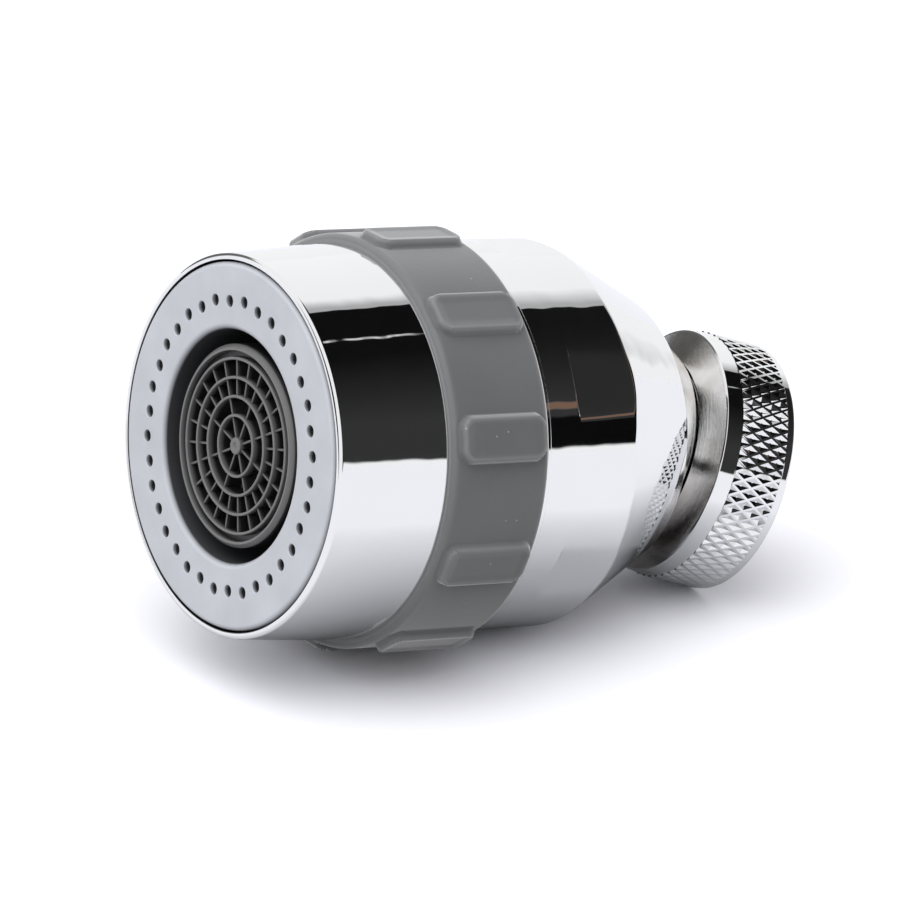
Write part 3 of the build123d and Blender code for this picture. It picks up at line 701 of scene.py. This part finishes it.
stem.lathe(
    [
        (neck_radius, neck_start),
        (neck_radius, groove_start),
        (groove_radius, groove_start),
        (groove_radius, groove_end),
        (neck_radius, groove_end),
        (neck_radius, neck_reach),
        (stem_bore, neck_reach),
        (stem_bore, -ball_cut, 0.3),
        (cut_radius, -ball_cut),
    ],
    closed=False,
)
stem.piece("chrome_ball", nut, chrome, "stem", ["ball_stem"])

ridge_lip, land_rise, knurl_sink = 0.2, 0.02, 0.45
lead_in = 0.5
face_slope = (ridge_reach - nut_front) / (ridge_radius - hole_edge_radius)
face_end = (ridge_radius - ridge_lip, ridge_reach - ridge_lip * face_slope)
body = Surface()
body.lathe(
    [
        face_end,
        (ridge_radius, ridge_reach, 0.1),
        (nut_end_radius, knurl_start - 0.1),
        (nut_end_radius + land_rise, knurl_start),
        (nut_end_radius - knurl_sink, knurl_start),
    ],
    columns=256,
    closed=False,
)
body.lathe(
    [
        (nut_end_radius - knurl_sink, knurl_end),
        (nut_end_radius + land_rise, knurl_end),
        (nut_end_radius, knurl_end + 0.1),
        (nut_end_radius, nut_end, 0.4),
        (thread_radius + lead_in, nut_end),
        (thread_radius, nut_end - lead_in),
        (thread_radius, relief_end),
        (relief_radius, relief_end),
        (relief_radius, web_reach),
        (nut_hole_radius, web_reach),
        (nut_hole_radius, nut_front + hole_bevel),
    ],
    columns=256,
    closed=False,
)
body.piece("nut_body", nut, chrome, "nut", ["inlet_nut"])

cone_face = Surface()
cone_face.lathe(
    [(nut_hole_radius, nut_front + hole_bevel), (hole_edge_radius, nut_front, 0.12), face_end],
    columns=256,
    closed=False,
)
cone_face.piece("nut_cone_face", nut, turned, "nut", ["inlet_nut"])


def knurl():
    """Diamond knurl: rows of sunk pyramids between crossed flat lands, rolled up from a flat strip"""
    around, half_width, land, depth, floor_share = 65, 1.163, 0.12, 0.21, 0.12
    pitch = 2 * pi * nut_radius / around
    length = knurl_end - knurl_start
    net = bmesh.new()
    columns = int(length / half_width) + 3
    shrink = 1 - land / (pitch / 2 * cos(atan2(pitch / 2, half_width)))
    for column in range(-1, columns):
        for row in range(around):
            cx = column * half_width
            cy = (row + 0.5 * (column % 2)) * pitch
            arms = [(-half_width, 0), (0, -pitch / 2), (half_width, 0), (0, pitch / 2)]
            outer, rim, floor = (
                [net.verts.new((cx + x * share, cy + y * share, z)) for x, y in arms]
                for share, z in ((1, 0), (shrink, 0), (floor_share, -depth))
            )
            for k in range(4):
                n = (k + 1) % 4
                net.faces.new((rim[k], rim[n], outer[n], outer[k]))
                net.faces.new((floor[k], floor[n], rim[n], rim[k]))
            net.faces.new(floor[::-1])
    for at, clear_outer in ((0.0, False), (length, True)):
        bmesh.ops.bisect_plane(
            net,
            geom=net.verts[:] + net.edges[:] + net.faces[:],
            plane_co=(at, 0, 0),
            plane_no=(1, 0, 0),
            clear_outer=clear_outer,
            clear_inner=not clear_outer,
        )
    mesh = bpy.data.meshes.new("nut_knurl")
    net.to_mesh(mesh)
    net.free()
    points = np.zeros(len(mesh.vertices) * 3)
    mesh.vertices.foreach_get("co", points)
    x, y, z = points.reshape(-1, 3).T
    radius, turn = nut_radius + z, y / nut_radius
    rolled = np.stack([radius * np.cos(turn), radius * np.sin(turn), knurl_start + x], axis=-1)
    mesh.vertices.foreach_set("co", (rolled * MM).ravel())
    mesh.update()
    on_land = z > -1e-5
    radial = np.stack([np.cos(turn), np.sin(turn), 0 * turn], axis=-1)
    loops = []
    for polygon in mesh.polygons:
        corners = list(polygon.vertices)
        if all(on_land[v] for v in corners):
            loops += [tuple(radial[v]) for v in corners]
        else:
            loops += [tuple(polygon.normal)] * len(corners)
    mesh.polygons.foreach_set("use_smooth", [True] * len(mesh.polygons))
    mesh.normals_split_custom_set(loops)
    return mesh


place("nut_knurl", knurl(), nut, chrome, "nut", ["inlet_nut"])

# Nodes that keep their shape

finishes = {
    "seal_rubber": seal_rubber,
    "inner_plastic": inner_plastic,
    "insert_plastic": insert_inside,
    "stainless": steel,
    "chrome": chrome,
    "face_plastic": face_plastic,
    "grip_rubber": rubber,
}
for subpart in frame["record"]["subparts"]:
    node = frame["nodes"][subpart["node"]]
    material = woven_steel if subpart["node"].endswith("screen") else finishes[subpart["material_slot"]]
    for slot in node.material_slots:
        slot.material = material

# Floor, light and camera

reach = 3
floor_mesh = bpy.data.meshes.new("floor")
floor_corners = [(-reach, -reach, 0), (reach, -reach, 0), (reach, reach, 0), (-reach, reach, 0)]
floor_mesh.from_pydata(floor_corners, [], [(0, 1, 2, 3)])
floor_material, nodes = new_material("floor")
path = nodes.add("ShaderNodeLightPath")
position = nodes.add("ShaderNodeNewGeometry").outputs["Position"]
spread = nodes.add("ShaderNodeVectorMath", {0: position}, operation="LENGTH").outputs["Value"]
# The chrome mirrors a floor with a painted shadow close to the piece, and painted shade after a second mirror
second_look = nodes.math("GREATER_THAN", path.outputs["Glossy Depth"], 1.5)
second_mirror_shade = nodes.math("MULTIPLY_ADD", second_look, -0.1, 1.0)
painted_shadow_factor = nodes.math("MULTIPLY", nodes.remap(spread, 0.022, 0.052, 0.57, 1.0), second_mirror_shade)
mirrored = nodes.mix(painted_shadow_factor, (0.03, 0.03, 0.035), (0.74, 0.745, 0.765))
lighting = nodes.mix(path.outputs["Is Diffuse Ray"], mirrored, (0.38, 0.38, 0.39))
tone = nodes.mix(path.outputs["Is Camera Ray"], lighting, (0.95, 0.95, 0.985))
paper = nodes.add("ShaderNodeBsdfDiffuse", {"Color": tone})
nodes.add("ShaderNodeOutputMaterial", {"Surface": paper.outputs[0]})
floor_mesh.materials.append(floor_material)
floor = bpy.data.objects.new("floor", floor_mesh)
bpy.context.collection.objects.link(floor)

world = bpy.data.worlds.new("studio")
bpy.context.scene.world = world
world.use_nodes = True
nodes = Nodes(world.node_tree)
direction = nodes.add("ShaderNodeTexCoord").outputs["Generated"]


def toward(azimuth, elevation):
    """How far the direction points towards one side of the room, from -1 to 1"""
    a, e = radians(azimuth), radians(elevation)
    aim = (sin(a) * cos(e), -cos(a) * cos(e), sin(e))
    product = nodes.add("ShaderNodeVectorMath", {0: direction, 1: aim}, operation="DOT_PRODUCT")
    return product.outputs["Value"]


def rise(value, low, high, start=0.0, end=1.0):
    """Straight ramp between two angles in degrees, level outside them"""
    return nodes.remap(value, radians(low), radians(high), start, end)


def between(value, low, high, soft):
    """1 between two angles in degrees, with edges that are soft by so many radians"""
    low, high = radians(low), radians(high)
    up = nodes.remap(value, low - soft, low + soft)
    return times(up, nodes.remap(value, high - soft, high + soft, 1.0, 0.0))


def times(*values):
    return nodes.math("MULTIPLY", *values)


# The unlit side of the room, seen only in the chrome: above the table's edge and below the lamp,
# and ending in a ragged edge with a grey margin where the lamp's cloth begins
crisp, blurred = 0.006, 0.06
dark_end, margin_end, raggedness, cloth_height, cloth_lean = (0.745, 0.765), (0.80, 1.02), 0.09, 45, 1.1
side_on = nodes.math("ARCTAN2", toward(232, 0), toward(142, 0))
height = nodes.math("ARCSINE", toward(0, 90))
ragged = nodes.noise(direction, 9.0, 2.0)
above_cloth = nodes.math("MAXIMUM", nodes.math("SUBTRACT", height, radians(cloth_height)), 0.0)
past = nodes.math("SUBTRACT", side_on, times(above_cloth, cloth_lean))
past = nodes.math("SUBTRACT", past, times(ragged, raggedness))
inside = times(rise(side_on, -53, -51), rise(height, 1.2, 2.4))
black = times(inside, nodes.remap(past, *dark_end, 1.0, 0.0))
margin = times(inside, nodes.remap(past, *margin_end, 0.55, 0.0))
open_sky = nodes.math("SUBTRACT", 1.0, nodes.math("MAXIMUM", black, margin))

# What shows in the dark: a faint glow from above, less so low down on one side, a copper strip and a slit
low_corner = times(rise(side_on, -18, -15), rise(height, 15, 16, 1.0, 0.0))
glow = times(inside, rise(height, 20, 47, 0.036, 0.005))
glow = times(glow, nodes.math("MULTIPLY_ADD", low_corner, -0.9, 1.0))
copper = times(times(rise(side_on, -13, -12), between(height, 18.5, 21.5, crisp)), black)
slit = times(between(side_on, 22.4, 24.0, crisp), between(height, 50.4, 51.2, crisp))
mirror_tone = nodes.math("ADD", nodes.math("MAXIMUM", open_sky, times(slit, 0.8)), glow)
mirror_tone = nodes.math("MULTIPLY_ADD", copper, 0.16, mirror_tone)

# The dark camera and the dim far end of the room, which the turned face of the nut shows
beside = nodes.math("ARCTAN2", toward(70, 0), toward(340, 0))
dark_camera = times(between(beside, -15, 24, blurred), rise(height, 23, 28, 0.97, 0.0))
dim_end = times(between(beside, -88, -44, blurred), rise(height, 31, 36, 0.86, 0.0))
mirror_tone = times(mirror_tone, nodes.math("SUBTRACT", 1.0, nodes.math("MAXIMUM", dark_camera, dim_end)))

# What a mirror shows of another mirror is darker near the floor
path = nodes.add("ShaderNodeLightPath")
second_look = nodes.math("GREATER_THAN", path.outputs["Glossy Depth"], 1.5)
second_mirror_shade = nodes.math("MULTIPLY_ADD", second_look, rise(height, 14, 18, -0.95, 0.1), 1.0)
mirror_tone = times(mirror_tone, second_mirror_shade)

# Soft light from overhead over an even fill, and white for the camera
key = nodes.math("POWER", nodes.math("MAXIMUM", toward(25, 66), 0.0), 3.0)
light = nodes.math("MULTIPLY_ADD", key, 2.5, 0.44)
first_bounces = nodes.math("LESS_THAN", path.outputs["Diffuse Depth"], 0.5)
by_mirror = nodes.math("MAXIMUM", path.outputs["Is Glossy Ray"], path.outputs["Is Transmission Ray"])
mirror = times(by_mirror, first_bounces)
camera_or_mirror = nodes.math("MAXIMUM", mirror, path.outputs["Is Camera Ray"])
shown = nodes.add("ShaderNodeMix", {"Factor": mirror, "A": 1.0, "B": mirror_tone}).outputs["Result"]
strength = nodes.add("ShaderNodeMix", {"Factor": camera_or_mirror, "A": light, "B": shown}).outputs["Result"]
tint = nodes.mix(camera_or_mirror, (0.99, 0.99, 1.01), (1, 1, 1))
tint = nodes.mix(times(copper, mirror), tint, (1, 0.6, 0.42))
background = nodes.add("ShaderNodeBackground", {"Color": tint, "Strength": strength})
nodes.add("ShaderNodeOutputWorld", {"Surface": background.outputs[0]})

camera_data = bpy.data.cameras.new("camera")
camera_data.sensor_fit = "HORIZONTAL"
camera_data.sensor_width = 36.0
camera_data.lens = 325.2
camera = bpy.data.objects.new("camera", camera_data)
bpy.context.collection.objects.link(camera)
# The camera as it was fitted to the photo, in the head's frame
right, up = (0.14711, 0.562579, 0.81355), (0.950229, -0.308751, 0.04168)
forward, camera_place = Vector((-0.274633, -0.766927, 0.58)), Vector((228.742, 643.309, -458.205))
view = Matrix((right, up, -forward)).transposed().to_4x4()
camera.matrix_world = head @ Matrix.Translation(camera_place * MM) @ view
camera_data.clip_start = 0.05
bpy.context.scene.camera = camera
bpy.context.scene.view_settings.view_transform = "Standard"

bpy.context.view_layer.update()
